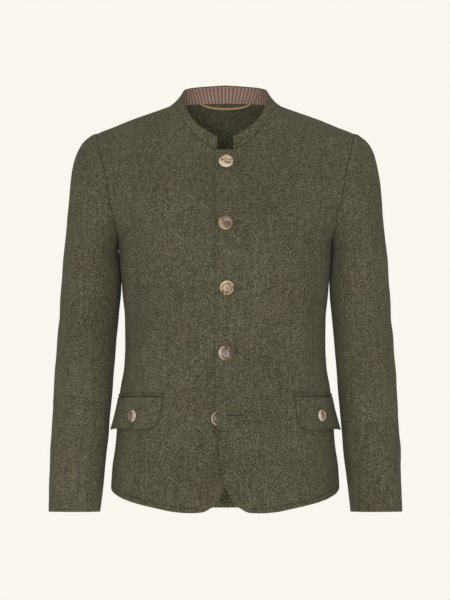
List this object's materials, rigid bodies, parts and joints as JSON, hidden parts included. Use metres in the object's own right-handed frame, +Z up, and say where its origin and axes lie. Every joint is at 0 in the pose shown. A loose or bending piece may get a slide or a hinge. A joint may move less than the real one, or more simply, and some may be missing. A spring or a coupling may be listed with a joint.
{
  "type": "wool jacket",
  "caption": "Hip-length fitted wool jacket with a stand collar, horn buttons, buttoned hip pocket flaps and two-piece sleeves, filled out as worn, open at neck, hem and cuffs",
  "frame": {"origin": "middle of the neck opening, level with the points where the shoulder seams meet the collar", "axes": "+Z up, -Y is the way the wearer faces, +X is the wearer's left"},
  "size_m": [0.6028, 0.2864, 0.7488],
  "materials": {
    "olive_wool": "milled mottled wool with a short nap, dark olive brown",
    "striped_band": "woven cotton with pale and dark brown stripes",
    "horn": null,
    "braided_cord": "beige braided cord"
  },
  "bodies": {
    "root": {"front_left": "olive_wool", "front_right": "olive_wool", "back_left": "olive_wool", "back_right": "olive_wool", "sleeve_left_top": "olive_wool", "sleeve_left_under": "olive_wool", "sleeve_right_top": "olive_wool", "sleeve_right_under": "olive_wool", "collar": "olive_wool", "welt_left": "olive_wool", "welt_right": "olive_wool", "flap_left": "olive_wool", "flap_right": "olive_wool", "button_1": "horn", "button_2": "horn", "button_3": "horn", "button_4": "horn", "button_5": "horn", "flap_button_left": "horn", "flap_button_right": "horn", "collar_lining": "striped_band", "hanger_loop": "braided_cord"}
  },
  "joints": []
}
